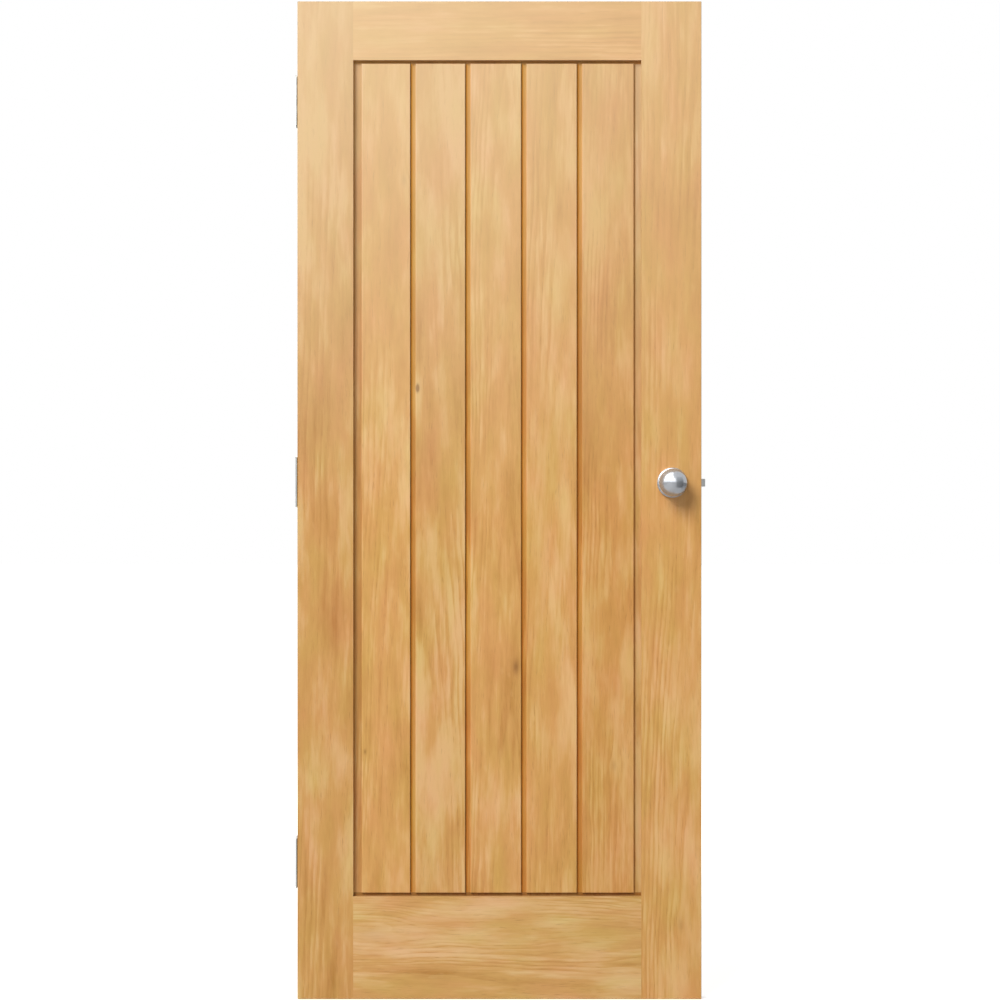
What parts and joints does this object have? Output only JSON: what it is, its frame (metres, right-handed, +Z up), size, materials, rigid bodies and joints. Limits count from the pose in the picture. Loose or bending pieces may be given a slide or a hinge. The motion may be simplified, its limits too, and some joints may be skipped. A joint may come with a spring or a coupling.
{
  "type": "door leaf",
  "caption": "Oak door leaf with upright boards in a stile and rail frame, hung on butt hinges, with ball knobs that draw back a sprung latch bolt.",
  "frame": {"origin": "middle of the leaf's bottom edge, at mid-thickness", "axes": "+Z up the leaf, +Y from the front face to the back face where the hinge knuckles are, +X from the hinge edge to the lock edge"},
  "size_m": [0.8427, 0.176, 2.04],
  "materials": {
    "oak_stiles": "clear satin lacquer on oak",
    "oak_rails": "clear satin lacquer on oak",
    "oak_boards": "clear satin lacquer on oak",
    "dowel_wood": "bare beech",
    "hinge_metal": "satin plated steel",
    "washer_metal": "plain brass",
    "screw_metal": "plated steel screws",
    "latch_metal": "zinc-plated pressed steel",
    "faceplate_metal": "satin plated steel",
    "spring_metal": "spring steel wire",
    "knob_metal": "satin chrome",
    "rose_metal": "satin chrome",
    "hidden_steel": "bright mild steel"
  },
  "bodies": {
    "hinge_frame_leaves": {"hinge_top_frame_leaf": "hinge_metal", "hinge_middle_frame_leaf": "hinge_metal", "hinge_bottom_frame_leaf": "hinge_metal", "hinge_top_pin": "hinge_metal", "hinge_middle_pin": "hinge_metal", "hinge_bottom_pin": "hinge_metal", "hinge_washers": "washer_metal"},
    "door_leaf": {"hinge_stile": "oak_stiles", "lock_stile": "oak_stiles", "top_rail": "oak_rails", "bottom_rail": "oak_rails", "board_1": "oak_boards", "board_2": "oak_boards", "board_3": "oak_boards", "board_4": "oak_boards", "board_5": "oak_boards", "frame_dowels": "dowel_wood", "hinge_top_door_leaf": "hinge_metal", "hinge_middle_door_leaf": "hinge_metal", "hinge_bottom_door_leaf": "hinge_metal", "hinge_screws": "screw_metal", "faceplate_screws": "screw_metal", "latch_case": "latch_metal", "latch_guide": "latch_metal", "latch_forend": "latch_metal", "latch_faceplate": "faceplate_metal", "latch_spring": "spring_metal", "front_rose_cover": "rose_metal", "back_rose_cover": "rose_metal", "front_rose_plate": "hidden_steel", "back_rose_plate": "hidden_steel", "rose_bolts": "screw_metal"},
    "knob_set": {"front_knob": "knob_metal", "back_knob": "knob_metal", "front_knob_shank": "hidden_steel", "back_knob_shank": "hidden_steel", "spindle": "hidden_steel", "grub_screws": "screw_metal", "latch_follower": "hidden_steel"},
    "latch": {"latch_bolt": "faceplate_metal", "latch_retractor": "hidden_steel"}
  },
  "joints": [
    {"name": "door_swing", "type": "hinge", "parent": "hinge_frame_leaves", "child": "door_leaf", "pos_m": [-0.414, 0.02693, 1.0575], "axis": [0, 0, 1], "range_deg": [0, 180]},
    {"name": "knob_turn", "type": "hinge", "parent": "door_leaf", "child": "knob_set", "pos_m": [0.353, 0, 1.056], "axis": [0, -1, 0], "range_deg": [0, 60]},
    {"name": "latch_slide", "type": "slide", "parent": "door_leaf", "child": "latch", "axis": [-1, 0, 0], "range_m": [0, 0.0092], "stiffness_N_per_m": 400, "springref_m": -0.006, "deforming": ["latch_spring"]}
  ],
  "couplings": [
    {"joint": "latch_slide", "follows": "knob_turn", "m_per_rad": 0.008785}
  ]
}
